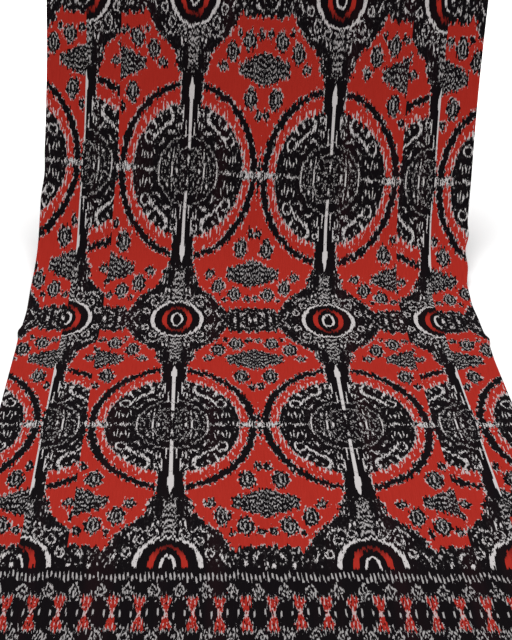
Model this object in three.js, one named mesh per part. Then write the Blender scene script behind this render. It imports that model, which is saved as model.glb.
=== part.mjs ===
// An ikat blanket: one woven length of cotton with plain hems. It hangs by its top hem, sweeps
// forward in a soft bend, and more than half of it lies on the floor.
// Millimetres. +X is the viewer's right, +Y points away from the viewer and +Z is up.
// The origin is on the floor, in the middle of the blanket's plan.

import * as THREE from "three";

// Driving dimensions
const WIDTH = 1150; // selvedge to selvedge
const LENGTH = 2410; // front hem to top hem, along the warp
const THICKNESS = 2; // the woven cloth
const HEM_DEPTH = 16; // the turned edge at each end
const HEM_THICKNESS = 3; // the cloth and its turning, pressed flat
const HEM_STEP = 4; // the slope from the hem down to the single cloth

// How the cloth is led, from the front hem to the top hem. Along is measured on the warp.
// Slope is the angle of the cloth to the floor in degrees. Drift is how far the middle of the
// cloth lies to the right. Skew is how many degrees the right side drops below the left, and
// sag is how far the middle drops below both selvedges.
const SECTIONS = [
  { along: 0, slope: 0, drift: 30, skew: 0, sag: 0 },
  { along: 250, slope: 0, drift: 24, skew: 0.4, sag: 0 },
  { along: 725, slope: 0, drift: 5, skew: 0.2, sag: 0 },
  { along: 1100, slope: 0, drift: -9, skew: 0.7, sag: 0 },
  { along: 1220, slope: 0, drift: -12, skew: 1.2, sag: 0 },
  { along: 1330, slope: 12.5, drift: -17, skew: 2.6, sag: 0 },
  { along: 1440, slope: 35.5, drift: -11, skew: 3.4, sag: 5 },
  { along: 1560, slope: 55.5, drift: -6, skew: 3.7, sag: 12 },
  { along: 1700, slope: 65.5, drift: 6, skew: 3.1, sag: 13 },
  { along: 1860, slope: 72, drift: 15, skew: 3.4, sag: 6 },
  { along: 2080, slope: 82.5, drift: 27, skew: 1.9, sag: 0 },
  { along: LENGTH, slope: 84.5, drift: 40, skew: 0, sag: 0 },
];

// Soft ripples that stand off the floor or off the hanging face. Across is measured from the
// middle of the cloth, rise is the height of the crest, wide and long are its half sizes, and
// lean is how far the crest moves to the right for each millimetre along.
const RIPPLES = [
  { across: -545, along: 40, rise: 7, wide: 75, long: 210, lean: 0.1 },
  { across: -300, along: 10, rise: 5, wide: 60, long: 150, lean: -0.15 },
  { across: 60, along: 20, rise: 6, wide: 70, long: 190, lean: 0.2 },
  { across: 330, along: 0, rise: 4, wide: 55, long: 140, lean: -0.1 },
  { across: 560, along: 60, rise: 8, wide: 80, long: 230, lean: -0.15 },
  { across: 575, along: 1090, rise: 6, wide: 60, long: 90, lean: 0 },
  { across: -575, along: 1125, rise: 5, wide: 55, long: 80, lean: 0 },
  { across: -330, along: LENGTH, rise: 9, wide: 120, long: 420, lean: 0.05 },
  { across: 130, along: LENGTH, rise: 8, wide: 110, long: 380, lean: -0.06 },
  { across: 470, along: LENGTH, rise: 7, wide: 90, long: 330, lean: 0.08 },
];

// Small nicks where a selvedge pulls in (negative) or stands out (positive).
// Side is 1 for the right selvedge and -1 for the left one.
const SELVEDGE_NICKS = [
  { side: 1, along: 1545, out: 4, reach: 40 },
  { side: 1, along: 1500, out: -5, reach: 45 },
  { side: 1, along: 1400, out: -4, reach: 60 },
  { side: 1, along: 1105, out: 6, reach: 35 },
  { side: -1, along: 1130, out: 5, reach: 35 },
  { side: -1, along: 1640, out: -4, reach: 70 },
  { side: -1, along: 520, out: -4, reach: 90 },
  { side: 1, along: 610, out: -4, reach: 80 },
];
const NICK_DEPTH = 120; // how far a nick reaches in from its selvedge

// Mesh steps: equal strips across, and stretches of equal rows along
const STRIPS_ACROSS = 22;
const ROW_STRETCHES = [
  { to: HEM_DEPTH, rows: 1 },
  { to: HEM_DEPTH + HEM_STEP, rows: 1 },
  { to: 300, rows: 8 },
  { to: 1040, rows: 14 },
  { to: 1220, rows: 6 },
  { to: 1600, rows: 20 },
  { to: 2100, rows: 14 },
  { to: LENGTH - HEM_DEPTH - HEM_STEP, rows: 7 },
  { to: LENGTH - HEM_DEPTH, rows: 1 },
  { to: LENGTH, rows: 1 },
];
const PROFILE_STEP = 1;

const COLOUR = 0x8e1f1a;
const ROUGHNESS = 0.9;

// A smooth curve through one column of the sections that never swings past its values
function sectionColumn(name) {
  const places = SECTIONS.map((row) => row.along);
  const values = SECTIONS.map((row) => row[name]);
  const rates = places.slice(1).map((place, i) => (values[i + 1] - values[i]) / (place - places[i]));
  const tangents = values.map((_, i) => {
    const before = rates[i - 1] ?? 0;
    const after = rates[i] ?? 0;
    return before * after > 0 ? (2 * before * after) / (before + after) : 0;
  });
  return (along) => {
    const last = places.length - 2;
    let i = 0;
    while (i < last && along > places[i + 1]) {
      i += 1;
    }
    const span = places[i + 1] - places[i];
    const t = THREE.MathUtils.clamp((along - places[i]) / span, 0, 1);
    const start = values[i] * (1 + 2 * t) + tangents[i] * span * t;
    const end = values[i + 1] * (3 - 2 * t) - tangents[i + 1] * span * (1 - t);
    return start * (1 - t) ** 2 + end * t ** 2;
  };
}

const slopeAt = sectionColumn("slope");
const driftAt = sectionColumn("drift");
const skewAt = sectionColumn("skew");
const sagAt = sectionColumn("sag");

// The side view of the cloth, found by walking along it in short steps
function walkProfile() {
  const points = [new THREE.Vector2(0, 0)];
  for (let along = 0; along < LENGTH; along += PROFILE_STEP) {
    const slope = THREE.MathUtils.degToRad(slopeAt(along + PROFILE_STEP / 2));
    const step = new THREE.Vector2(Math.cos(slope), Math.sin(slope)).multiplyScalar(PROFILE_STEP);
    points.push(points.at(-1).clone().add(step));
  }
  return points;
}

const profile = walkProfile();

function profilePoint(along) {
  const place = THREE.MathUtils.clamp(along / PROFILE_STEP, 0, profile.length - 1);
  const i = Math.min(Math.floor(place), profile.length - 2);
  return profile[i].clone().lerp(profile[i + 1], place - i);
}

// A round hump that is 1 in its middle and 0 from one half size away
function hump(distance) {
  const d = Math.min(Math.abs(distance), 1);
  return (1 + Math.cos(Math.PI * d)) / 2;
}

function rippleHeight(across, along) {
  return RIPPLES.reduce((height, ripple) => {
    const crest = ripple.across + ripple.lean * (along - ripple.along);
    const side = hump((across - crest) / ripple.wide);
    const end = hump((along - ripple.along) / ripple.long);
    return Math.max(height, ripple.rise * side * end);
  }, 0);
}

function nickShift(across, along) {
  return SELVEDGE_NICKS.reduce((shift, nick) => {
    const inward = WIDTH / 2 - nick.side * across;
    const end = hump((along - nick.along) / nick.reach);
    return shift + nick.side * nick.out * hump(inward / NICK_DEPTH) * end;
  }, 0);
}

function thicknessAt(along) {
  const inHem = along <= HEM_DEPTH || along >= LENGTH - HEM_DEPTH;
  return inHem ? HEM_THICKNESS : THICKNESS;
}

// The underside and the face of the cloth at one place
function clothPoint(across, along) {
  const skew = THREE.MathUtils.degToRad(skewAt(along));
  const lift = sagAt(along) * (across / (WIDTH / 2)) ** 2;
  const led = THREE.MathUtils.clamp(along - across * Math.sin(skew) + lift, 0, LENGTH);
  const slope = THREE.MathUtils.degToRad(slopeAt(led));
  const side = profilePoint(led);
  const outward = new THREE.Vector3(0, -Math.sin(slope), Math.cos(slope));
  const x = driftAt(along) + across * Math.cos(skew) + nickShift(across, along);
  const under = new THREE.Vector3(x, side.x, side.y).addScaledVector(outward, rippleHeight(across, along));
  const face = under.clone().addScaledVector(outward, thicknessAt(along));
  return { under, face };
}

function rowPlaces() {
  const places = [0];
  for (const stretch of ROW_STRETCHES) {
    const from = places.at(-1);
    for (let i = 1; i <= stretch.rows; i += 1) {
      places.push(from + ((stretch.to - from) * i) / stretch.rows);
    }
  }
  return places;
}

// One closed sheet: the underside, the face, and the four edges between them
function clothGeometry() {
  const rows = rowPlaces();
  const columns = STRIPS_ACROSS + 1;
  const under = [];
  const face = [];
  for (const along of rows) {
    for (let j = 0; j < columns; j += 1) {
      const point = clothPoint(WIDTH * (j / STRIPS_ACROSS - 0.5), along);
      under.push(point.under);
      face.push(point.face);
    }
  }
  const faceStart = under.length;
  const triangles = [];
  const quad = (a, b, c, d) => triangles.push(a, b, c, a, c, d);
  for (let i = 0; i < rows.length - 1; i += 1) {
    for (let j = 0; j < STRIPS_ACROSS; j += 1) {
      const near = i * columns + j;
      const far = near + columns;
      quad(near, far, far + 1, near + 1);
      quad(faceStart + near, faceStart + near + 1, faceStart + far + 1, faceStart + far);
    }
  }
  for (let j = 0; j < STRIPS_ACROSS; j += 1) {
    const back = (rows.length - 1) * columns + j;
    quad(j, j + 1, faceStart + j + 1, faceStart + j);
    quad(back + 1, back, faceStart + back, faceStart + back + 1);
  }
  for (let i = 0; i < rows.length - 1; i += 1) {
    const left = i * columns;
    const right = left + STRIPS_ACROSS;
    quad(left + columns, left, faceStart + left, faceStart + left + columns);
    quad(right, right + columns, faceStart + right + columns, faceStart + right);
  }
  const geometry = new THREE.BufferGeometry().setFromPoints([...under, ...face]);
  geometry.setIndex(triangles);
  geometry.computeVertexNormals();
  return geometry;
}

// The plan is centred on the origin, and the floor stays where it is
function centrePlan(geometry) {
  geometry.computeBoundingBox();
  const middle = geometry.boundingBox.getCenter(new THREE.Vector3());
  return geometry.translate(-middle.x, -middle.y, 0);
}

const cloth = new THREE.Mesh(
  centrePlan(clothGeometry()),
  new THREE.MeshStandardMaterial({ color: COLOUR, roughness: ROUGHNESS, metalness: 0 }),
);
cloth.name = "cloth";

const group = new THREE.Group();
group.add(cloth);

export default group;
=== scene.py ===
import math
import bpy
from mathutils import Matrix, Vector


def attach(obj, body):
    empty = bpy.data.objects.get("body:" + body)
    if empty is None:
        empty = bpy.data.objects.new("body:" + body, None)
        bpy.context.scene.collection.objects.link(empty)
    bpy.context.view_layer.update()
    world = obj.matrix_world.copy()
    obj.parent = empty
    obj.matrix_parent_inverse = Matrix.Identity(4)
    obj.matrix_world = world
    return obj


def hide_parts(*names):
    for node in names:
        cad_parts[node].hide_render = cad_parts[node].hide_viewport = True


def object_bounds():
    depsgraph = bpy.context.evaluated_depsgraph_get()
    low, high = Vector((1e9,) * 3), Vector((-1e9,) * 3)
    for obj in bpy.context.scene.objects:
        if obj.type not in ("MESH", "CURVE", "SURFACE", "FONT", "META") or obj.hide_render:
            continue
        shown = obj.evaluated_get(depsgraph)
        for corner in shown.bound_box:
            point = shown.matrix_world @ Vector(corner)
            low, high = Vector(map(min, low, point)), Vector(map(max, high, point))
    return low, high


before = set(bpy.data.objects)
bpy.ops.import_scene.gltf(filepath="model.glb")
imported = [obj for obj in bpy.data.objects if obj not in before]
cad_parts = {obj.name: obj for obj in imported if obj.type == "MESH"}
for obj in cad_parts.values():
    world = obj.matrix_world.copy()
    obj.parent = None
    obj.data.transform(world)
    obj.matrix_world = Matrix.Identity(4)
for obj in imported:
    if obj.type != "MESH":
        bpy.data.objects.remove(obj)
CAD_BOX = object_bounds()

from types import SimpleNamespace

import bpy
import numpy as np
from mathutils import Vector

# The cloth, in metres, as the solid has it
WIDTH = 1.15
LENGTH = 2.41
THICKNESS = 0.002
HEM_DEPTH = 0.016
HEM_THICKNESS = 0.003
HEM_STEP = 0.004

# How the cloth is led from the front hem to the top hem: place along the warp, slope in degrees,
# drift of the middle to the right, skew in degrees, and sag of the middle below the selvedges
SECTIONS = np.array([
    (0.000, 0.0, 0.030, 0.0, 0.000),
    (0.250, 0.0, 0.024, 0.4, 0.000),
    (0.725, 0.0, 0.005, 0.2, 0.000),
    (1.100, 0.0, -0.009, 0.7, 0.000),
    (1.220, 0.0, -0.012, 1.2, 0.000),
    (1.330, 12.5, -0.017, 2.6, 0.000),
    (1.440, 35.5, -0.011, 3.4, 0.005),
    (1.560, 55.5, -0.006, 3.7, 0.012),
    (1.700, 65.5, 0.006, 3.1, 0.013),
    (1.860, 72.0, 0.015, 3.4, 0.006),
    (2.080, 82.5, 0.027, 1.9, 0.000),
    (LENGTH, 84.5, 0.040, 0.0, 0.000),
])
ALONG, SLOPE, DRIFT, SKEW, SAG = range(5)

# Soft ripples: across, along, rise of the crest, half width, half length, lean of the crest
RIPPLES = (
    (-0.545, 0.040, 0.007, 0.075, 0.210, 0.10),
    (-0.300, 0.010, 0.005, 0.060, 0.150, -0.15),
    (0.060, 0.020, 0.006, 0.070, 0.190, 0.20),
    (0.330, 0.000, 0.004, 0.055, 0.140, -0.10),
    (0.560, 0.060, 0.008, 0.080, 0.230, -0.15),
    (0.575, 1.090, 0.006, 0.060, 0.090, 0.00),
    (-0.575, 1.125, 0.005, 0.055, 0.080, 0.00),
    (-0.330, LENGTH, 0.009, 0.120, 0.420, 0.05),
    (0.130, LENGTH, 0.008, 0.110, 0.380, -0.06),
    (0.470, LENGTH, 0.007, 0.090, 0.330, 0.08),
)

# Nicks in a selvedge: side, along, how far it stands out, reach
SELVEDGE_NICKS = (
    (1, 1.545, 0.004, 0.040),
    (1, 1.500, -0.005, 0.045),
    (1, 1.400, -0.004, 0.060),
    (1, 1.105, 0.006, 0.035),
    (-1, 1.130, 0.005, 0.035),
    (-1, 1.640, -0.004, 0.070),
    (-1, 0.520, -0.004, 0.090),
    (1, 0.610, -0.004, 0.080),
)
NICK_DEPTH = 0.12

# Steps of the mesh, and of the walk along the side view
STRIPS_ACROSS = 140
ROWS_ALONG = 286
PROFILE_STEP = 0.001
# Edges that turn by more than this many degrees stay sharp
SHARP_ANGLE = 40
# The bake map: the face fills its left half, the underside its right half, and the rims lie
# round the face
BAKE_HALF = 0.5
BAKE_EDGE = 0.01
BAKE_RIM = 0.006
# Millimetres in a metre
MILLIMETRES = 1000

# The camera, fitted to the photograph's frame, which is 640 pixels high
FRAME_HEIGHT = 640
FOCAL_PIXELS = 1235
CAMERA_PITCH = 28.7
CAMERA_HEIGHT = 1.5
CAMERA_TO_HEM = 1.531
SENSOR = 36.0

# The floor: its colour, roughness and half size, and how far it lies below the cloth
FLOOR_COLOUR = (0.93, 0.93, 0.93, 1)
FLOOR_ROUGHNESS = 0.9
FLOOR_HALF = 9.0
FLOOR_GAP = 0.0005
# The light from all sides, and area lights: name, place, aim, size, power, spread in degrees
WORLD_COLOUR = (1, 1, 1, 1)
WORLD_STRENGTH = 0.56
AREA_LIGHTS = (
    ("key", (0.05, 0.0, 3.7), (0.05, -0.2, 0.0), 2.0, 122, 180),
    ("backdrop", (0.0, 3.3, 2.6), (0.0, 3.3, 0.0), 3.0, 42, 60),
)


# Shape of the cloth

def section_column(column):
    """A smooth curve through one column of the sections that never swings past its values."""
    places = SECTIONS[:, ALONG]
    values = SECTIONS[:, column]
    spans = np.diff(places)
    rates = np.diff(values) / spans
    before, after = rates[:-1], rates[1:]
    same_way = before * after > 0
    total = np.where(same_way, before + after, 1)
    tangents = np.zeros(len(values))
    tangents[1:-1] = np.where(same_way, 2 * before * after / total, 0)

    def curve(along):
        i = np.clip(np.searchsorted(places, along) - 1, 0, len(spans) - 1)
        t = np.clip((along - places[i]) / spans[i], 0, 1)
        start = values[i] * (1 + 2 * t) + tangents[i] * spans[i] * t
        end = values[i + 1] * (3 - 2 * t) - tangents[i + 1] * spans[i] * (1 - t)
        return start * (1 - t) ** 2 + end * t ** 2

    return curve


def side_view():
    """The cloth's side view: places along it, and how far back and how high each lies."""
    places = np.arange(0, LENGTH + PROFILE_STEP / 2, PROFILE_STEP)
    slopes = np.radians(section_column(SLOPE)((places[1:] + places[:-1]) / 2))
    back = np.concatenate(([0], np.cumsum(np.cos(slopes) * PROFILE_STEP)))
    height = np.concatenate(([0], np.cumsum(np.sin(slopes) * PROFILE_STEP)))
    return places, back, height


def hump(distance):
    """A round hump that is 1 in its middle and 0 from one half size away."""
    return (1 + np.cos(np.pi * np.minimum(np.abs(distance), 1))) / 2


def ripple_height(across, along):
    """How far the ripples stand off the cloth's plain shape."""
    height = np.zeros_like(along)
    for middle, place, rise, wide, long, lean in RIPPLES:
        crest = middle + lean * (along - place)
        height = np.maximum(height, rise * hump((across - crest) / wide) * hump((along - place) / long))
    return height


def nick_shift(across, along):
    """How far the nicks move the cloth to the right."""
    shift = np.zeros_like(along)
    for side, place, out, reach in SELVEDGE_NICKS:
        inward = WIDTH / 2 - side * across
        shift += side * out * hump(inward / NICK_DEPTH) * hump((along - place) / reach)
    return shift


def cloth_surface(across, along):
    """The underside's points and the direction out of the face, before the plan is centred."""
    skew = np.radians(section_column(SKEW)(along))
    lift = section_column(SAG)(along) * (across / (WIDTH / 2)) ** 2
    led = np.clip(along - across * np.sin(skew) + lift, 0, LENGTH)
    slope = np.radians(section_column(SLOPE)(led))
    places, back, height = side_view()
    outward = np.stack((np.zeros_like(slope), -np.sin(slope), np.cos(slope)), -1)
    x = section_column(DRIFT)(along) + across * np.cos(skew) + nick_shift(across, along)
    y = np.interp(led, places, back)
    z = np.interp(led, places, height)
    points = np.stack((x, y, z), -1) + outward * ripple_height(across, along)[..., None]
    return points, outward


def row_places():
    """Even rows along the cloth, with rows at the edges of both hems."""
    front, top = (0, HEM_DEPTH), (LENGTH - HEM_DEPTH, LENGTH)
    inner = HEM_DEPTH + HEM_STEP
    even = np.linspace(inner, LENGTH - inner, ROWS_ALONG + 1 - len(front) - len(top))
    return np.concatenate((front, even, top))


def centring(points):
    """How far the points move so that their plan is centred as the solid's is."""
    middle = (points.min(0) + points.max(0)) / 2
    cad_middle = (np.array(CAD_BOX[0]) + np.array(CAD_BOX[1])) / 2
    return np.array((cad_middle[0] - middle[0], cad_middle[1] - middle[1], CAD_BOX[0][2]))


def sheet_quads(number, baked):
    """The quads of the underside, the face and the four rims, and their corners on the bake map."""
    start = number.size
    near, near_right = number[:-1, :-1].ravel(), number[:-1, 1:].ravel()
    far, far_right = number[1:, :-1].ravel(), number[1:, 1:].ravel()
    under_quads = np.stack((near, far, far_right, near_right), 1)
    face_quads = np.stack((near, near_right, far_right, far), 1)
    quads = [under_quads, face_quads + start]
    maps = [baked[under_quads] + (BAKE_HALF, 0), baked[face_quads]]
    rims = (
        (number[0], (0, -BAKE_RIM)),
        (number[::-1, 0], (-BAKE_RIM, 0)),
        (number[-1, ::-1], (0, BAKE_RIM)),
        (number[:, -1], (BAKE_RIM, 0)),
    )
    for edge, out in rims:
        quads.append(np.stack((edge[:-1], edge[1:], edge[1:] + start, edge[:-1] + start), 1))
        inner = baked[edge]
        maps.append(np.stack((inner[:-1] + out, inner[1:] + out, inner[1:], inner[:-1]), 1))
    return np.concatenate(quads), np.concatenate(maps)


def cloth_mesh():
    """One closed thin sheet on the solid's shape, with its cloth coordinates in millimetres."""
    across, along = np.meshgrid(np.linspace(-WIDTH / 2, WIDTH / 2, STRIPS_ACROSS + 1), row_places())
    under, outward = cloth_surface(across, along)
    in_hem = (along <= HEM_DEPTH) | (along >= LENGTH - HEM_DEPTH)
    face = under + outward * np.where(in_hem, HEM_THICKNESS, THICKNESS)[..., None]
    points = np.concatenate((under.reshape(-1, 3), face.reshape(-1, 3)))
    shift = centring(points)
    across_share = BAKE_EDGE + (across / WIDTH + 0.5) * (BAKE_HALF - 2 * BAKE_EDGE)
    along_share = BAKE_EDGE + along / LENGTH * (1 - 2 * BAKE_EDGE)
    baked = np.stack((across_share, along_share), -1).reshape(-1, 2)
    quads, maps = sheet_quads(np.arange(across.size).reshape(across.shape), baked)
    mesh = bpy.data.meshes.new("blanket")
    mesh.from_pydata((points + shift).tolist(), [], quads.tolist())
    bake_map = mesh.uv_layers.new(name="OFBake")
    bake_map.data.foreach_set("uv", maps.astype(np.float32).ravel())
    weave = mesh.attributes.new("weave", "FLOAT_VECTOR", "POINT")
    flat = np.stack((across, along, np.zeros_like(across)), -1).reshape(-1, 3) * MILLIMETRES
    weave.data.foreach_set("vector", np.concatenate((flat, flat)).astype(np.float32).ravel())
    mesh.polygons.foreach_set("use_smooth", [True] * len(mesh.polygons))
    mesh.set_sharp_from_angle(angle=math.radians(SHARP_ANGLE))
    mesh.update()
    return mesh, shift


mesh, plan_shift = cloth_mesh()
blanket = bpy.data.objects.new("blanket", mesh)
bpy.context.scene.collection.objects.link(blanket)


# Materials: numbers that shader nodes work out, written as ordinary sums

class Field:
    """A number that shader nodes work out at each point of a surface."""

    def __init__(self, tree, socket):
        self.tree = tree
        self.socket = socket

    def op(self, operation, *others, clamp=False):
        """One math node on this field and on other fields or numbers."""
        node = self.tree.nodes.new("ShaderNodeMath")
        node.operation = operation
        node.use_clamp = clamp
        for place, value in zip(node.inputs, (self, *others)):
            if isinstance(value, Field):
                self.tree.links.new(value.socket, place)
            else:
                place.default_value = value
        return Field(self.tree, node.outputs[0])

    def __add__(self, other):
        return self.op("ADD", other)

    def __sub__(self, other):
        return self.op("SUBTRACT", other)

    def __rsub__(self, other):
        return self.op("MULTIPLY_ADD", -1, other)

    def __mul__(self, other):
        return self.op("MULTIPLY", other)

    def __truediv__(self, other):
        return self.op("DIVIDE", other)

    def __abs__(self):
        return self.op("ABSOLUTE")

    def __lt__(self, other):
        return self.op("LESS_THAN", other)

    def __gt__(self, other):
        return self.op("GREATER_THAN", other)

    def low(self, *others):
        """The least of this field and the others."""
        result = self
        for other in others:
            result = result.op("MINIMUM", other)
        return result

    def high(self, *others):
        """The greatest of this field and the others."""
        result = self
        for other in others:
            result = result.op("MAXIMUM", other)
        return result

    def fold(self, size):
        """Runs up to size and back again, over and over."""
        return self.op("PINGPONG", size)


class Pattern:
    """The shader nodes of one material."""

    def __init__(self, material):
        material.use_nodes = True
        self.tree = material.node_tree
        self.tree.nodes.clear()

    def node(self, kind, **settings):
        """A new node with some of its settings."""
        made = self.tree.nodes.new(kind)
        for name, value in settings.items():
            setattr(made, name, value)
        return made

    def place(self, x, y):
        """A flat vector of two fields or numbers."""
        made = self.node("ShaderNodeCombineXYZ")
        for socket, value in zip(made.inputs, (x, y)):
            self.feed(socket, value)
        return made.outputs[0]

    def feed(self, socket, value):
        """Links a field or a socket to a socket, or sets a plain value on it."""
        if isinstance(value, Field):
            self.tree.links.new(value.socket, socket)
        elif isinstance(value, bpy.types.NodeSocket):
            self.tree.links.new(value, socket)
        else:
            socket.default_value = value

    def vector(self, operation, *values):
        """One vector math node: a field if its result is a number, else a socket."""
        made = self.node("ShaderNodeVectorMath", operation=operation)
        for socket, value in zip(made.inputs, values):
            self.feed(socket, value)
        number = operation in ("LENGTH", "DOT_PRODUCT")
        return Field(self.tree, made.outputs["Value"]) if number else made.outputs["Vector"]

    def noise(self, place, detail=0.0, roughness=0.5):
        """Smooth noise from 0 to 1 over a flat place."""
        made = self.node("ShaderNodeTexNoise", noise_dimensions="2D")
        self.feed(made.inputs["Vector"], place)
        made.inputs["Scale"].default_value = 1.0
        made.inputs["Detail"].default_value = detail
        made.inputs["Roughness"].default_value = roughness
        return Field(self.tree, made.outputs[0])

    def grain(self, x, y, size, detail=0.0, roughness=0.5):
        """Noise whose grains are about as wide and as long as size says."""
        return self.noise(self.place(x * (1 / size[0]), y * (1 / size[1])), detail, roughness)

    def by_thread(self, number, step, along, run):
        """Noise that differs from thread to thread and changes along each of them."""
        return self.noise(self.place(number * step, along * (1 / run)))

    def table(self, value, points, reach):
        """Reads a short table of (place, value) rows, joined by straight lines."""
        made = self.node("ShaderNodeFloatCurve")
        curve = made.mapping.curves[0]
        top = max(row[1] for row in points)
        for i, (at, height) in enumerate(points):
            spot = curve.points[i] if i < 2 else curve.points.new(0, 0)
            spot.location = (at / reach, height / top)
            spot.handle_type = "VECTOR"
        made.mapping.update()
        self.feed(made.inputs["Value"], value * (1 / reach))
        return Field(self.tree, made.outputs[0]) * top

    def mix(self, share, first, second):
        """A colour between the first and the second one."""
        made = self.node("ShaderNodeMix", data_type="RGBA")
        self.feed(made.inputs[0], share)
        self.feed(made.inputs[6], first)
        self.feed(made.inputs[7], second)
        return made.outputs[2]

    def ellipse(self, point, half_wide, half_high):
        """Distance from an ellipse round the origin, below 0 inside it."""
        shrink = (1 / half_wide, 1 / half_high, 0)
        once = self.vector("MULTIPLY", point, shrink)
        reach = self.vector("LENGTH", once)
        twice = self.vector("LENGTH", self.vector("MULTIPLY", once, shrink))
        return (reach - 1) * reach / twice

    def stroke(self, point, start, end, wide):
        """Distance from a straight stroke with round ends, below 0 inside it."""
        run = Vector((end[0] - start[0], end[1] - start[1], 0))
        offset = self.vector("SUBTRACT", point, (start[0], start[1], 0))
        share = self.vector("DOT_PRODUCT", offset, run).op("MULTIPLY", 1 / run.length_squared, clamp=True)
        nearest = self.node("ShaderNodeVectorMath", operation="SCALE")
        nearest.inputs["Vector"].default_value = run
        self.feed(nearest.inputs["Scale"], share)
        gap = self.vector("SUBTRACT", offset, nearest.outputs["Vector"])
        return self.vector("LENGTH", gap) - wide / 2

    def ring(self, point, centre, sizes, wide):
        """Distance from the line of an elliptical ring, below 0 on it."""
        offset = self.vector("SUBTRACT", point, (centre[0], centre[1], 0))
        return abs(self.ellipse(offset, *sizes)) - wide / 2


# The ikat, in millimetres. P runs across from the stem of a repeat to the mid-line between two
# repeats, and q along from the middle of an oval to the middle of an eye. Both are mirrored.
# Width of a repeat, half its length, depth of a border, and width of the part repeat that follows
# the whole one on each side:
REPEAT = 382
HALF_REPEAT = 476
BORDER = 253
INNER_STRIP = 92
MID_LINE = REPEAT / 2
# How far the pattern lies to the right of the middle between the selvedges
PATTERN_SHIFT = 3.0

RED = (0.345, 0.0200, 0.0125, 1)
RED_DARK = (0.265, 0.0145, 0.0090, 1)
BLACK = (0.0024, 0.0014, 0.0022, 1)
MAROON = (0.0068, 0.0019, 0.0030, 1)
WHITE = (0.465, 0.442, 0.440, 1)
# How white the loose and the faint flecks, the outlines and the flecks on the red band are
FLECK_WHITE = 0.68
FAINT_WHITE = 0.014
OUTLINE_WHITE = 0.66
EDGE_WHITE = 0.74
# How strong white and red are in the border
BORDER_WHITE = 0.66
BORDER_RED = 0.92

# How warp threads slip: width of a bundle, range of its slip, and how fast that changes along
BUNDLE = 3.3
SLIP = 21.0
SLIP_RUN = 40.0
# Width of one thread, range of its slip within its bundle, and how fast that changes along
THREAD = 0.75
OWN_SLIP = 9.0
OWN_RUN = 26.0
# Range by which single bundles shift the edges of the shapes, and how fast that changes along
JAG = 12.0
JAG_RUN = 11.0
# How fast the breaks that a bundle makes in outlines, flecks and dashes change along
BREAK_RUN = 14.0
# Steps through the noise from one bundle or thread to the next, so that each moves by itself
SLIP_STEP = 7.31
OWN_STEP = 9.17
JAG_STEP = 5.13
BREAK_STEP = 3.77
# Width and length of the grains that make the flecks and break the lines. Each value below whose
# name ends in GRAIN is the level of noise above which its marks show.
FLECK_SIZE = (6.6, 10.5)
FLECK_DETAIL = 1.0
FLECK_ROUGHNESS = 0.4
FINE_SIZE = (4.0, 6.0)
TALL_SIZE = (4.2, 13.0)
BORDER_SIZE = (3.6, 7.5)

# Half width and half height of the outer edges of the oval's black line, red band, heart and core
OVAL_OUTER = (186, 242)
OVAL_BAND = (167, 222)
OVAL_HEART = (149, 181)
OVAL_CORE = (84, 62)
# Where the stem and the row between two ovals break the red band, as half widths
STEM_HALF = 29
BAND_BREAK = 11

# Half width of the black stem, neck and eye ground, for each q
NECK = (
    (0, 30), (255, 31), (268, 38), (285, 45), (315, 48), (327, 57), (340, 68), (352, 80), (365, 92),
    (380, 102), (400, 111), (420, 118), (440, 123), (476, 126),
)
# The q from which the neck has flecks
NECK_FOOT = 262
# Turns a gap across into the shorter one to the neck's slanting edge
NECK_SLANT = 0.75
# The black band between two eyes: its edge, the teeth along it, and one longer spike of red
BAND_EDGE = 410
BAND_TOOTH = 13
BAND_TOOTH_SLOPE = 0.8
SPIKE_AT = 127
SPIKE_HALF = 7
SPIKE_SLOPE = 3.5

# Black motifs on the red ground: p, q, half width, half height
MOTIFS = (
    (148, 354, 18, 28),
    (104, 325, 17, 29),
    (157, 202, 18, 30),
    (122, 376, 6, 11),
    (80, 284, 13, 14),
    (181, 158, 9, 15),
    (179, 371, 10, 12),
)
# How many half sizes a motif's points would reach if they were not cut off
MOTIF_CUT = 1.35
# Inside each motif: how deep its white ring lies, half the ring's width, and how deep its dot lies
MOTIF_RING = 8.5
MOTIF_RING_HALF = 1.5
MOTIF_DOT = 15
MOTIF_GRAIN = 0.43
# The hatched figure on the mid-line: its q, half height, how fast it narrows, and its half width
FISH_AT = 280
FISH_HALF = 48
FISH_TAPER = 0.48
FISH_END = 68
# The wavy white rows that hatch it: their pitch along, half a wave across, the wave's slope, the
# white share of the pitch, and how far inside they stay
HATCH_PITCH = 15.5
HATCH_WAVE = 10
HATCH_SLOPE = 0.75
HATCH_WHITE = 0.33
HATCH_INSIDE = 4
HATCH_GRAIN = 0.49
# The black wedge where two ovals meet: how far it reaches along, and how fast it narrows
WEDGE_REACH = 62
WEDGE_TAPER = 0.13

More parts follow.
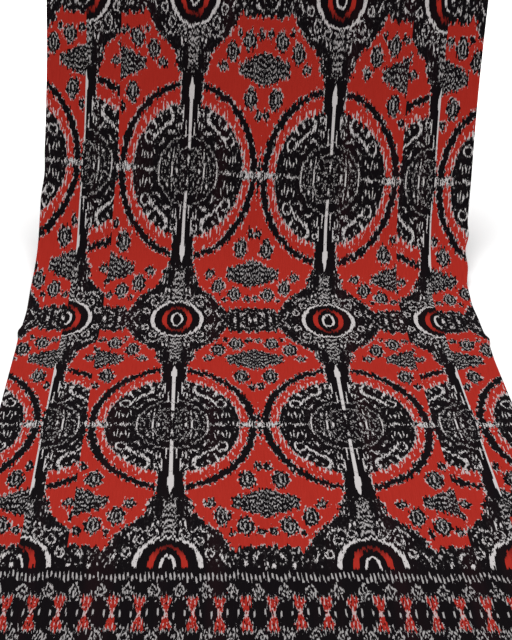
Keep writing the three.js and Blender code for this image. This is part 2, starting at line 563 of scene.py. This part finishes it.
# White strokes inside the oval: p and q where each starts and ends, and its width
OVAL_STROKES = (
    (55, 162, 47, 149, 6.5),
    (47, 149, 48, 136, 8.5),
    (48, 136, 57, 124, 8.5),
    (57, 124, 71, 113, 7.5),
    (71, 113, 85, 100, 6.5),
    (85, 100, 96, 83, 5.5),
    (92, 116, 105, 143, 7.0),
    (77, 135, 79, 140, 6.0),
    (63, 150, 67, 152, 4.5),
    (24, 112, 24, 127, 4.0),
    (32, 113, 31, 127, 4.0),
    (41, 99, 50, 106, 5.0),
    (50, 106, 57, 100, 5.0),
    (67, 81, 79, 64, 5.0),
    (78, 0, 78, 19, 4.0),
    (78, 19, 74, 40, 3.0),
    (43, 0, 43, 22, 4.5),
    (41, 38, 40, 56, 3.0),
    (0, 19, 0, 36, 5.0),
    (30, 0, 30, 5, 5.0),
    (53, 30, 53, 43, 4.5),
    (92, 40, 94, 52, 3.0),
    (101, 27, 99, 40, 3.0),
    (109, 30, 112, 46, 3.5),
    (118, 26, 119, 42, 3.0),
    (126, 34, 124, 48, 3.0),
    (20, 130, 20, 170, 4.0),
    (11, 90, 11, 130, 3.5),
    (30, 176, 30, 240, 3.4),
)
# White rings inside the oval: p, q, half width, half height, width of the line
OVAL_RINGS = (
    (107, 84, 12, 14, 4.4),
    (29, 157, 6, 8, 3.5),
)
# Dotted rings round the oval's middle: half width, half height, width of the line
DOTTED_RINGS = ((78, 93, 2.6), (45, 64, 2.2))
DOTTED_GRAIN = 0.46
# White strokes and rings round the eye, with the second number measured from the eye's middle
EYE_STROKES = (
    (44, 104, 56, 113, 4.5),
    (56, 113, 70, 106, 4.5),
    (70, 106, 80, 92, 4.0),
    (22, 118, 22, 132, 5.0),
    (32, 119, 31, 132, 5.0),
    (39, 160, 37, 180, 3.2),
    (98, 40, 106, 18, 4.5),
    (146, 0, 146, 8, 9.0),
    (184, 0, 184, 6, 8.0),
    (166, 28, 170, 36, 6.0),
)
EYE_RINGS = (
    (30, 98, 9, 12, 4.0),
    (58, 78, 9, 12, 4.0),
    (79, 40, 8, 12, 4.0),
)
# Half width of the white spear in the stem, for each q
SPEAR = ((0, 3.2), (120, 3.7), (196, 4.0), (200, 6.8), (226, 6.8), (232, 4.2), (252, 1.5), (260, 0))
SPEAR_FOOT = 58
SPEAR_TIP = 252
# How much is taken off each side of a stroke. Firm lines are the spear and the eye's white rings.
STROKE_THIN = 0.3
STROKE_GRAIN = 0.40
FIRM_GRAIN = 0.22

# Rings of the eye: outer and inner half width and half height
EYE_GROUND = (74, 96)
EYE_WHITE = ((67, 88), (57.5, 82.5))
EYE_RED = ((38, 62), (26, 54))
EYE_SMALL = ((16, 34), (10.5, 28))
# The eye's red ring: its strength at the eye's middle, and how fast it fades along
EYE_RED_START = 1.55
EYE_RED_FADE = 0.022

# White outlines between red and black: their width, and the level that leaves bundles out
OUTLINE = 6.8
OUTLINE_BREAK = 0.43
# Loose flecks show where their noise is above a limit, which each area lowers by its own amount
NO_FLECKS = 1.2
EYE_FLECKS = 0.505
EYE_SIDE_FLECKS = 0.03
EYE_SIDE_AT = 84
HEART_FLECKS = 0.465
# How far below that limit faint flecks still show
FAINT_MORE = 0.10
# The level of the core's own fine flecks, and the level below which a bundle has no flecks
CORE_GRAIN = 0.70
FLECK_BREAK = 0.42
# The heart's flecks stay clear of its rim, and of the stem except near the oval's middle
HEART_RIM = 3
STEM_CLEAR = 26
STEM_CLEAR_FROM = 56
# Flecks on the red band: the level at the heart's edge, how it rises outwards, and their overlap
EDGE_GRAIN = 0.585
EDGE_RISE = 0.0085
EDGE_PAST_BAND = 4
EDGE_PAST_HEART = 2
# The thin white row that joins two ovals: half height, where it is higher, and its two ends
ROW_HALF = 3
ROW_HIGHER = 6
ROW_HIGHER_AT = 140
ROW_START = 84
ROW_PAST_HEART = 45
ROW_GRAIN = 0.52
# Chevrons down the middle of the neck: slope, pitch, white share, half width, place and reach
CHEVRON_SLOPE = 0.45
CHEVRON_PITCH = 17
CHEVRON_WHITE = 0.34
CHEVRON_HALF = 14
CHEVRONS_AT = 148
CHEVRONS_REACH = 54
CHEVRON_GRAIN = 0.36

# The border, measured along from its own middle line
BORDER_MIDDLE = 125
# Hourglass figures: pitch across, half width of the waist, how fast they flare, their end, and
# how much of the jag they take
FIGURE_PITCH = 47.5
WAIST_HALF = 2.4
FIGURE_FLARE = 0.23
FIGURE_END = 47
FIGURE_JAG = 0.3
FIGURE_GRAIN = 0.30
# Prongs at both ends of a figure: half their pitch, and how fast the gaps between them deepen
PRONG_HALF = 3.5
PRONG_SLOPE = 3.2
# White threads between the prongs: where each starts in the half pitch, and the group's size
SLIT_EDGE = 2.3
SLITS_HALF = 13
SLITS_START = 20
SLIT_GRAIN = 0.55
# White tips on the prongs: half width of one and of the group, place along, and half length
TIP_HALF = 1.1
TIPS_HALF = 9
TIPS_AT = 48
TIP_REACH = 5
# White dashes at both sides of the waist, the white waist, and the ragged white edge
SIDE_DASH_AT = 14
SIDE_DASH_HALF = 1.6
SIDE_DASH_REACH = 7
WAIST_REACH = 9
WAIST_GRAIN = 0.42
FIGURE_EDGE = 5
FIGURE_EDGE_GRAIN = 0.52
# Flowers: place along, half width and half height of the diamond, how deep its middle lies, half
# the width of its line, and half the size of its dot
FLOWER_AT = 60
FLOWER_HALF = (10, 17)
FLOWER_DEPTH = 8
FLOWER_LINE = 1.6
FLOWER_DOT = (1.6, 4)
# Legs of a flower: place across and along, half width and half length
LEGS_ACROSS = 7
LEGS_AT = 38
LEG_HALF = (1.4, 5)
# How ragged the flowers are, and the level of noise that draws them as charted
FLOWER_RAGGED = 8
FLOWER_LEVEL = 0.56
# Upright dashes: place along, pitch, how the row sways, half length and how uneven it is, half
# width and how it tapers, and the lean of the dashes
DASHES_AT = 98
DASH_PITCH = 7.8
DASH_SWAY = 22
DASH_SWAY_RUN = 38.0
DASH_REACH = 8
DASH_UNEVEN = 18
DASH_HALF = 1.6
DASH_TAPER = 0.06
DASH_LEAN = 0.1

# Dye: width and length of its streaks, width of the maroon stripes, and how sharp those are
STREAK_SIZE = (2.2, 45.0)
STREAK_DETAIL = 2.0
DYE_WIDTH = 70.0
DYE_DETAIL = 1.0
DYE_CONTRAST = 5.0
# Fine warp ribs: width and length, how strong they are, and their height in metres
RIB_SIZE = (0.9, 9.0)
RIB_DETAIL = 1.0
RIB_STRENGTH = 0.35
RIB_HEIGHT = 0.0006
# The cloth is matt, and lighter streaks are a little smoother
ROUGHNESS = 0.98
ROUGHNESS_STREAK = -0.2
SPECULAR = 0.06


def lowest(fields):
    """The least of several fields, joined one at a time."""
    result = None
    for field in fields:
        result = field if result is None else result.low(field)
    return result


def lay_out(w):
    """Places in the weave: on the cloth, and mirrored into one quarter of a repeat."""
    weave = w.node("ShaderNodeAttribute", attribute_name="weave").outputs["Vector"]
    split = w.node("ShaderNodeSeparateXYZ")
    w.feed(split.inputs[0], weave)
    across = Field(w.tree, split.outputs[0])
    along = Field(w.tree, split.outputs[1])
    bundle = (across * (1 / BUNDLE)).op("FLOOR")
    thread = (across * (1 / THREAD)).op("FLOOR")
    own_slip = (w.by_thread(thread, OWN_STEP, along, OWN_RUN) - 0.5) * OWN_SLIP
    slip = (w.by_thread(bundle, SLIP_STEP, along, SLIP_RUN) - 0.5) * SLIP + own_slip
    side = abs(across - PATTERN_SHIFT)
    past_repeat = side > REPEAT
    past_strip = side > REPEAT + INNER_STRIP
    stem = past_repeat * (REPEAT / 2 + INNER_STRIP) + past_strip * MID_LINE + MID_LINE
    p = abs(side - stem)
    q = (slip + along - (BORDER + HALF_REPEAT)).fold(HALF_REPEAT)
    return SimpleNamespace(
        across=across, along=along, p=p, q=q,
        from_end=along.low(LENGTH * MILLIMETRES - along) + slip,
        spot=w.place(p, q),
        eye_spot=w.place(p, HALF_REPEAT - q),
        fleck=w.grain(p, q, FLECK_SIZE, detail=FLECK_DETAIL, roughness=FLECK_ROUGHNESS),
        fine=w.grain(p, q, FINE_SIZE),
        tall=w.grain(p, q, TALL_SIZE),
        breaks=w.by_thread(bundle, BREAK_STEP, along, BREAK_RUN),
        jag=(w.by_thread(bundle, JAG_STEP, along, JAG_RUN) - 0.5) * JAG,
    )


def motif_shape(at, p, q, half_wide, half_high):
    """Distance from a diamond with its points cut off, below 0 inside it."""
    gap_p = abs(at.p - p)
    gap_q = abs(at.q - q)
    size = MOTIF_CUT * half_wide * half_high / math.hypot(half_wide, half_high)
    slant = gap_p * (size / MOTIF_CUT / half_wide) + gap_q * (size / MOTIF_CUT / half_high) - size
    return slant.high(gap_p - half_wide, gap_q - half_high)


def fish_shape(at):
    """Distance from the hatched figure on the mid-line, below 0 inside it."""
    gap_p = abs(at.p - MID_LINE)
    gap_q = abs(at.q - FISH_AT)
    return (gap_p * FISH_TAPER + gap_q - FISH_HALF).high(gap_p - FISH_END)


def loose_lines(w, at):
    """Distance from the charted white strokes and rings, below 0 on them."""
    strokes = [(at.spot, row) for row in OVAL_STROKES] + [(at.eye_spot, row) for row in EYE_STROKES]
    rings = [(at.spot, row) for row in OVAL_RINGS] + [(at.eye_spot, row) for row in EYE_RINGS]
    lines = lowest(w.stroke(point, row[0:2], row[2:4], row[4]) for point, row in strokes)
    return lines.low(lowest(w.ring(point, row[0:2], row[2:4], row[4]) for point, row in rings))


def firm_lines(w, at):
    """Distance from the spear and the white rings of the eye, below 0 on them."""
    spear = at.p - w.table(at.q, SPEAR, SPEAR[-1][0])
    lines = spear.high(SPEAR_FOOT - at.q, at.q - SPEAR_TIP)
    for outer, inner in (EYE_WHITE, EYE_SMALL):
        lines = lines.low(w.ellipse(at.eye_spot, *outer).high(w.ellipse(at.eye_spot, *inner) * -1))
    return lines


def field_shapes(w, at):
    """Distances from the shapes of the field, and from the edge of its red, above 0 on red."""
    p, q = at.p, at.q
    from_eye = HALF_REPEAT - q
    fish = fish_shape(at)
    motifs = lowest(motif_shape(at, *row) for row in MOTIFS)
    neck = (p - w.table(q, NECK, HALF_REPEAT)) * NECK_SLANT
    spike = ((SPIKE_HALF - abs(p - SPIKE_AT)) * SPIKE_SLOPE).high(0)
    band = p.fold(BAND_TOOTH) * BAND_TOOTH_SLOPE + spike + BAND_EDGE - q
    outer = w.ellipse(at.spot, *OVAL_OUTER)
    heart = w.ellipse(at.spot, *OVAL_HEART)
    ring_band = heart.low(w.ellipse(at.spot, *OVAL_BAND) * -1, p - STEM_HALF, q - BAND_BREAK)
    wedge = q * WEDGE_TAPER - p + (MID_LINE - WEDGE_TAPER * WEDGE_REACH)
    red = outer.low(neck, band, motifs, fish, wedge).high(ring_band) + at.jag
    return SimpleNamespace(
        from_eye=from_eye, fish=fish, motifs=motifs, neck=neck, band=band, heart=heart,
        ring_band=ring_band, red=red,
    )


def field_flecks(w, at, shapes):
    """Where the field has loose, faint and edge flecks, and the row that joins two ovals."""
    p, q, heart, from_eye = at.p, at.q, shapes.heart, shapes.from_eye

    # Loose flecks: thick round the eye, thin in the oval, none on plain black
    eye = w.ellipse(at.eye_spot, *EYE_GROUND)
    core = w.ellipse(at.spot, *OVAL_CORE)
    in_eye = (shapes.neck.low(shapes.band) < 0) * (q > NECK_FOOT) * (eye > 0)
    in_heart = (heart < -HEART_RIM) * (p > STEM_CLEAR).high(q < STEM_CLEAR_FROM)
    eye_flecks = (p > EYE_SIDE_AT) * EYE_SIDE_FLECKS + EYE_FLECKS
    limit = NO_FLECKS - in_eye * eye_flecks - in_heart * HEART_FLECKS
    flecks = (at.fleck > limit).high((at.fine > CORE_GRAIN) * (core < 0)) * (at.breaks > FLECK_BREAK)
    faint = (at.fleck > limit - FAINT_MORE) * (shapes.red < 0) * FAINT_WHITE
    edge_flecks = (at.tall > heart * EDGE_RISE + EDGE_GRAIN) * (shapes.ring_band > -EDGE_PAST_BAND)
    edge_flecks = edge_flecks * (heart > -EDGE_PAST_HEART)
    row = (q < (p > ROW_HIGHER_AT) * ROW_HIGHER + ROW_HALF) * (p > ROW_START)
    row = row * (heart < ROW_PAST_HEART) * (at.fine > ROW_GRAIN)

    # Chevrons in the neck, and the dotted rings round the oval's middle
    chevron = ((p * CHEVRON_SLOPE + from_eye) * (1 / CHEVRON_PITCH)).op("FRACT") < CHEVRON_WHITE
    chevrons = chevron * (p < CHEVRON_HALF) * (abs(from_eye - CHEVRONS_AT) < CHEVRONS_REACH)
    chevrons = chevrons * (at.fine > CHEVRON_GRAIN)
    dotted = lowest(w.ring(at.spot, (0, 0), ring[0:2], ring[2]) for ring in DOTTED_RINGS) < 0
    flecks = flecks.high(chevrons, dotted * (at.fine > DOTTED_GRAIN))

    # Wavy rows in the hatched figure, and a ring with a dot in each motif
    hatch = ((p.fold(HATCH_WAVE) * HATCH_SLOPE + q) * (1 / HATCH_PITCH)).op("FRACT") < HATCH_WHITE
    hatch = hatch * (shapes.fish < -HATCH_INSIDE) * (at.fine > HATCH_GRAIN)
    motif_ring = abs(shapes.motifs + MOTIF_RING) < MOTIF_RING_HALF
    motif_ring = motif_ring.high(shapes.motifs < -MOTIF_DOT)
    flecks = flecks.high(hatch, motif_ring * (at.fine > MOTIF_GRAIN))
    return flecks, faint, edge_flecks, row


def field_shares(w, at):
    """Where the field between the borders is white, and where it is red."""
    shapes = field_shapes(w, at)
    red = shapes.red
    flecks, faint, edge_flecks, row = field_flecks(w, at, shapes)
    strokes = (loose_lines(w, at) < -STROKE_THIN) * (at.fine > STROKE_GRAIN)
    strokes = strokes.high((firm_lines(w, at) < 0) * (at.fine > FIRM_GRAIN))
    outline = (abs(red) < (at.breaks - OUTLINE_BREAK) * OUTLINE) * OUTLINE_WHITE
    loose = flecks * (red < 0) * FLECK_WHITE
    white = (strokes.high(row) * (red < 0)).high(loose, faint, outline, edge_flecks * EDGE_WHITE)

    # The red ring of the eye fades towards its two ends
    eye_red = w.ellipse(at.eye_spot, *EYE_RED[0]).high(w.ellipse(at.eye_spot, *EYE_RED[1]) * -1)
    faded = EYE_RED_START - shapes.from_eye * EYE_RED_FADE
    return white, (red > 0).high((eye_red < 0) * faded.low(1))


def border_shares(w, at):
    """Where a border is white, and where it is red."""
    middle = abs(at.from_end - (BORDER - BORDER_MIDDLE))
    unit = (at.across - PATTERN_SHIFT) * (1 / FIGURE_PITCH)
    figure_p = abs(unit - unit.op("ROUND")) * FIGURE_PITCH
    flower_p = FIGURE_PITCH / 2 - figure_p
    grain = w.grain(at.across, at.from_end, BORDER_SIZE)

    # Red hourglass figures with prongs at each end, and white threads between the prongs
    prong = figure_p.fold(PRONG_HALF)
    figure = figure_p - (middle * FIGURE_FLARE + WAIST_HALF)
    figure = figure.high(middle - FIGURE_END + prong * PRONG_SLOPE)
    slits = (SLIT_EDGE - prong).high(figure_p - SLITS_HALF, SLITS_START - middle, middle - FIGURE_END)
    tips = (prong - TIP_HALF).high(figure_p - TIPS_HALF, abs(middle - TIPS_AT) - TIP_REACH)
    side_dash = (abs(figure_p - SIDE_DASH_AT) - SIDE_DASH_HALF).high(middle - SIDE_DASH_REACH)
    edge = abs(figure) - (grain - FIGURE_EDGE_GRAIN) * FIGURE_EDGE
    lines = (slits.low(tips) < 0) * (grain > SLIT_GRAIN)
    waist = (figure.high(middle - WAIST_REACH) < 0) * (grain > WAIST_GRAIN)
    lines = lines.high(side_dash < 0, edge < 0, waist)

    # Flowers between the figures: an open diamond with a dot in it, on two short legs
    flower_q = abs(middle - FLOWER_AT)
    slant = flower_p * (FLOWER_DEPTH / FLOWER_HALF[0]) + flower_q * (FLOWER_DEPTH / FLOWER_HALF[1])
    diamond = abs(slant - FLOWER_DEPTH) - FLOWER_LINE
    dot = (flower_p - FLOWER_DOT[0]).high(flower_q - FLOWER_DOT[1])
    legs = (abs(flower_p - LEGS_ACROSS) - LEG_HALF[0]).high(abs(middle - LEGS_AT) - LEG_HALF[1])
    flowers = lowest((diamond, dot, legs)) < (grain - FLOWER_LEVEL) * FLOWER_RAGGED

    # A row of upright dashes between the flowers and the field
    sway = w.noise(w.place(at.across * (1 / DASH_SWAY_RUN), 0.0)) * DASH_SWAY
    from_row = sway - middle + (DASHES_AT - DASH_SWAY / 2)
    reach = (at.breaks - 0.5) * DASH_UNEVEN + DASH_REACH - abs(from_row)
    half = from_row * DASH_TAPER + DASH_HALF
    dashes = (reach > 0) * ((middle * DASH_LEAN + at.across).fold(DASH_PITCH / 2) < half)
    white = lines.high(flowers, dashes) * BORDER_WHITE
    return white, (figure + at.jag * FIGURE_JAG < 0) * (grain > FIGURE_GRAIN) * BORDER_RED


def ikat_material():
    material = bpy.data.materials.new("ikat_cloth")
    w = Pattern(material)
    at = lay_out(w)
    white, red = field_shares(w, at)
    border_white, border_red = border_shares(w, at)
    in_border = at.from_end < BORDER
    white = (border_white - white) * in_border + white
    red = (border_red - red) * in_border + red

    # Colours, with dye that varies a little from thread to thread
    streak = w.grain(at.across, at.along, STREAK_SIZE, detail=STREAK_DETAIL)
    dye = w.noise(w.place(at.across * (1 / DYE_WIDTH), 0.0), detail=DYE_DETAIL)
    black = w.mix((dye - 0.5).op("MULTIPLY", DYE_CONTRAST, clamp=True), BLACK, MAROON)
    colour = w.mix(red, black, w.mix(streak, RED_DARK, RED))
    colour = w.mix(white, colour, WHITE)

    # Fine warp ribs and slubs
    rib = w.grain(at.across, at.along, RIB_SIZE, detail=RIB_DETAIL)
    bump = w.node("ShaderNodeBump")
    bump.inputs["Strength"].default_value = RIB_STRENGTH
    bump.inputs["Distance"].default_value = RIB_HEIGHT
    w.feed(bump.inputs["Height"], rib)

    shader = w.node("ShaderNodeBsdfPrincipled")
    w.feed(shader.inputs["Base Color"], colour)
    w.feed(shader.inputs["Roughness"], streak * ROUGHNESS_STREAK + ROUGHNESS)
    shader.inputs["Specular IOR Level"].default_value = SPECULAR
    w.feed(shader.inputs["Normal"], bump.outputs[0])
    output = w.node("ShaderNodeOutputMaterial")
    w.feed(output.inputs["Surface"], shader.outputs[0])
    return material


blanket.data.materials.append(ikat_material())
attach(blanket, "root")
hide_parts("cloth")


# Floor, light and camera

def floor_material():
    material = bpy.data.materials.new("floor")
    w = Pattern(material)
    shader = w.node("ShaderNodeBsdfPrincipled")
    shader.inputs["Base Color"].default_value = FLOOR_COLOUR
    shader.inputs["Roughness"].default_value = FLOOR_ROUGHNESS
    output = w.node("ShaderNodeOutputMaterial")
    w.feed(output.inputs["Surface"], shader.outputs[0])
    return material


def make_floor():
    half = FLOOR_HALF
    level = CAD_BOX[0][2] - FLOOR_GAP
    mesh = bpy.data.meshes.new("floor")
    corners = [(-half, -half, level), (half, -half, level), (half, half, level), (-half, half, level)]
    mesh.from_pydata(corners, [], [(0, 1, 2, 3)])
    floor = bpy.data.objects.new("floor", mesh)
    floor.data.materials.append(floor_material())
    bpy.context.scene.collection.objects.link(floor)


def area_light(name, place, aim, size, power, spread):
    lamp = bpy.data.lights.new(name, "AREA")
    lamp.spread = math.radians(spread)
    lamp.size = size
    lamp.energy = power
    made = bpy.data.objects.new(name, lamp)
    made.location = place
    made.rotation_euler = (Vector(aim) - Vector(place)).to_track_quat("-Z", "Y").to_euler()
    bpy.context.scene.collection.objects.link(made)


def make_light():
    world = bpy.data.worlds.new("studio")
    bpy.context.scene.world = world
    world.use_nodes = True
    background = world.node_tree.nodes["Background"]
    background.inputs["Color"].default_value = WORLD_COLOUR
    background.inputs["Strength"].default_value = WORLD_STRENGTH
    for row in AREA_LIGHTS:
        area_light(*row)
    bpy.context.scene.view_settings.view_transform = "Standard"


def make_camera():
    data = bpy.data.cameras.new("camera")
    data.sensor_width = SENSOR
    data.lens = FOCAL_PIXELS * SENSOR / FRAME_HEIGHT
    camera = bpy.data.objects.new("camera", data)
    camera.location = (plan_shift[0], CAD_BOX[0][1] - CAMERA_TO_HEM, CAD_BOX[0][2] + CAMERA_HEIGHT)
    camera.rotation_euler = (math.radians(90 - CAMERA_PITCH), 0, 0)
    bpy.context.scene.collection.objects.link(camera)
    bpy.context.scene.camera = camera


make_floor()
make_light()
make_camera()
